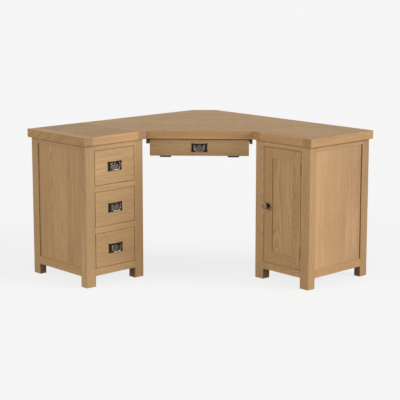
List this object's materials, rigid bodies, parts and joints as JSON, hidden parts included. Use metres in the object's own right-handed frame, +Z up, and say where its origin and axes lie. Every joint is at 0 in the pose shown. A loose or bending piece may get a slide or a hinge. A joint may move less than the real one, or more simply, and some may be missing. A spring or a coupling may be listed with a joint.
{
  "type": "corner desk",
  "caption": "Oak corner desk: a drawer pedestal and a cupboard pedestal joined by a corner top with a drop-front keyboard tray.",
  "frame": {"origin": "on the floor, at the centre of the square that the desk covers", "axes": "+Z up; the walls are at -X and +Y, and the room corner is at -X +Y; the drawers open along +X, the door faces -Y"},
  "size_m": [1.286, 1.286, 0.78],
  "materials": {
    "oak": "satin lacquered oak",
    "oak_panel": "satin lacquered oak veneer",
    "inner_wood": "plain pale wood",
    "plywood": "plywood, light seal",
    "handle_metal": "antique pewter, rubbed",
    "steel": "zinc plated",
    "catch_plastic": "moulded brown"
  },
  "bodies": {
    "root": {"back_legs": "oak", "back_rails": "oak", "bottom_panels": "plywood", "cabinet_shelf": "inner_wood", "corner_top": "oak", "corner_top_battens": "oak", "door_catch": "catch_plastic", "door_hinge_fixed_leaves": "handle_metal", "drawer_runners": "inner_wood", "keyboard_fixed_runners": "steel", "keyboard_hanger_rails": "oak", "left_back_panel": "plywood", "left_front_legs": "oak", "left_front_rails": "oak", "left_side_panels": "oak_panel", "left_side_rails": "oak", "left_top": "oak", "left_top_end_boards": "oak", "right_back_panel": "plywood", "right_front_legs": "oak", "right_front_rails": "oak", "right_side_panels": "oak_panel", "right_side_rails": "oak", "right_top": "oak", "right_top_end_boards": "oak", "shelf_battens": "inner_wood", "top_fixing_brackets": "steel"},
    "drawer_1": {"drawer_1_front": "oak", "drawer_1_sides": "inner_wood", "drawer_1_back": "inner_wood", "drawer_1_bottom": "plywood", "drawer_1_handle": "handle_metal"},
    "drawer_1_bail": {"drawer_1_bail": "handle_metal"},
    "drawer_2": {"drawer_2_front": "oak", "drawer_2_sides": "inner_wood", "drawer_2_back": "inner_wood", "drawer_2_bottom": "plywood", "drawer_2_handle": "handle_metal"},
    "drawer_2_bail": {"drawer_2_bail": "handle_metal"},
    "drawer_3": {"drawer_3_front": "oak", "drawer_3_sides": "inner_wood", "drawer_3_back": "inner_wood", "drawer_3_bottom": "plywood", "drawer_3_handle": "handle_metal"},
    "drawer_3_bail": {"drawer_3_bail": "handle_metal"},
    "door": {"door_stiles": "oak", "door_rails": "oak", "door_panel": "oak_panel", "door_knob": "handle_metal", "door_hinge_door_leaves": "handle_metal", "door_strike": "steel"},
    "keyboard_tray": {"tray_bottom": "inner_wood", "tray_sides": "inner_wood", "tray_back": "inner_wood", "tray_runners": "steel", "tray_hinge_leaves": "handle_metal"},
    "drop_front": {"drop_front": "oak", "drop_front_hinge_leaves": "handle_metal", "drop_front_handle": "handle_metal"},
    "drop_front_bail": {"drop_front_bail": "handle_metal"}
  },
  "joints": [
    {"name": "drawer_1_slide", "type": "slide", "parent": "root", "child": "drawer_1", "axis": [1, 0, 0], "range_m": [0, 0.29]},
    {"name": "drawer_1_bail_swing", "type": "hinge", "parent": "drawer_1", "child": "drawer_1_bail", "pos_m": [-0.1638, -0.4345, 0.6298], "axis": [0, -1, 0], "range_deg": [0, 90]},
    {"name": "drawer_2_slide", "type": "slide", "parent": "root", "child": "drawer_2", "axis": [1, 0, 0], "range_m": [0, 0.29]},
    {"name": "drawer_2_bail_swing", "type": "hinge", "parent": "drawer_2", "child": "drawer_2_bail", "pos_m": [-0.1638, -0.4345, 0.4148], "axis": [0, -1, 0], "range_deg": [0, 90]},
    {"name": "drawer_3_slide", "type": "slide", "parent": "root", "child": "drawer_3", "axis": [1, 0, 0], "range_m": [0, 0.29]},
    {"name": "drawer_3_bail_swing", "type": "hinge", "parent": "drawer_3", "child": "drawer_3_bail", "pos_m": [-0.1638, -0.4345, 0.1998], "axis": [0, -1, 0], "range_deg": [0, 90]},
    {"name": "door_swing", "type": "hinge", "parent": "root", "child": "door", "pos_m": [0.5639, 0.1718, 0.4], "axis": [0, 0, 1], "range_deg": [0, 110]},
    {"name": "tray_slide", "type": "slide", "parent": "root", "child": "keyboard_tray", "axis": [-0.7071, 0.7071, 0], "range_m": [-0.26, 0]},
    {"name": "drop_front_fold", "type": "hinge", "parent": "keyboard_tray", "child": "drop_front", "pos_m": [0.01611, -0.01611, 0.641], "axis": [-0.7071, -0.7071, 0], "range_deg": [-90, 0]},
    {"name": "drop_front_bail_swing", "type": "hinge", "parent": "drop_front", "child": "drop_front_bail", "pos_m": [0.03552, -0.03552, 0.7025], "axis": [0.7071, 0.7071, 0], "range_deg": [-90, 0]}
  ]
}
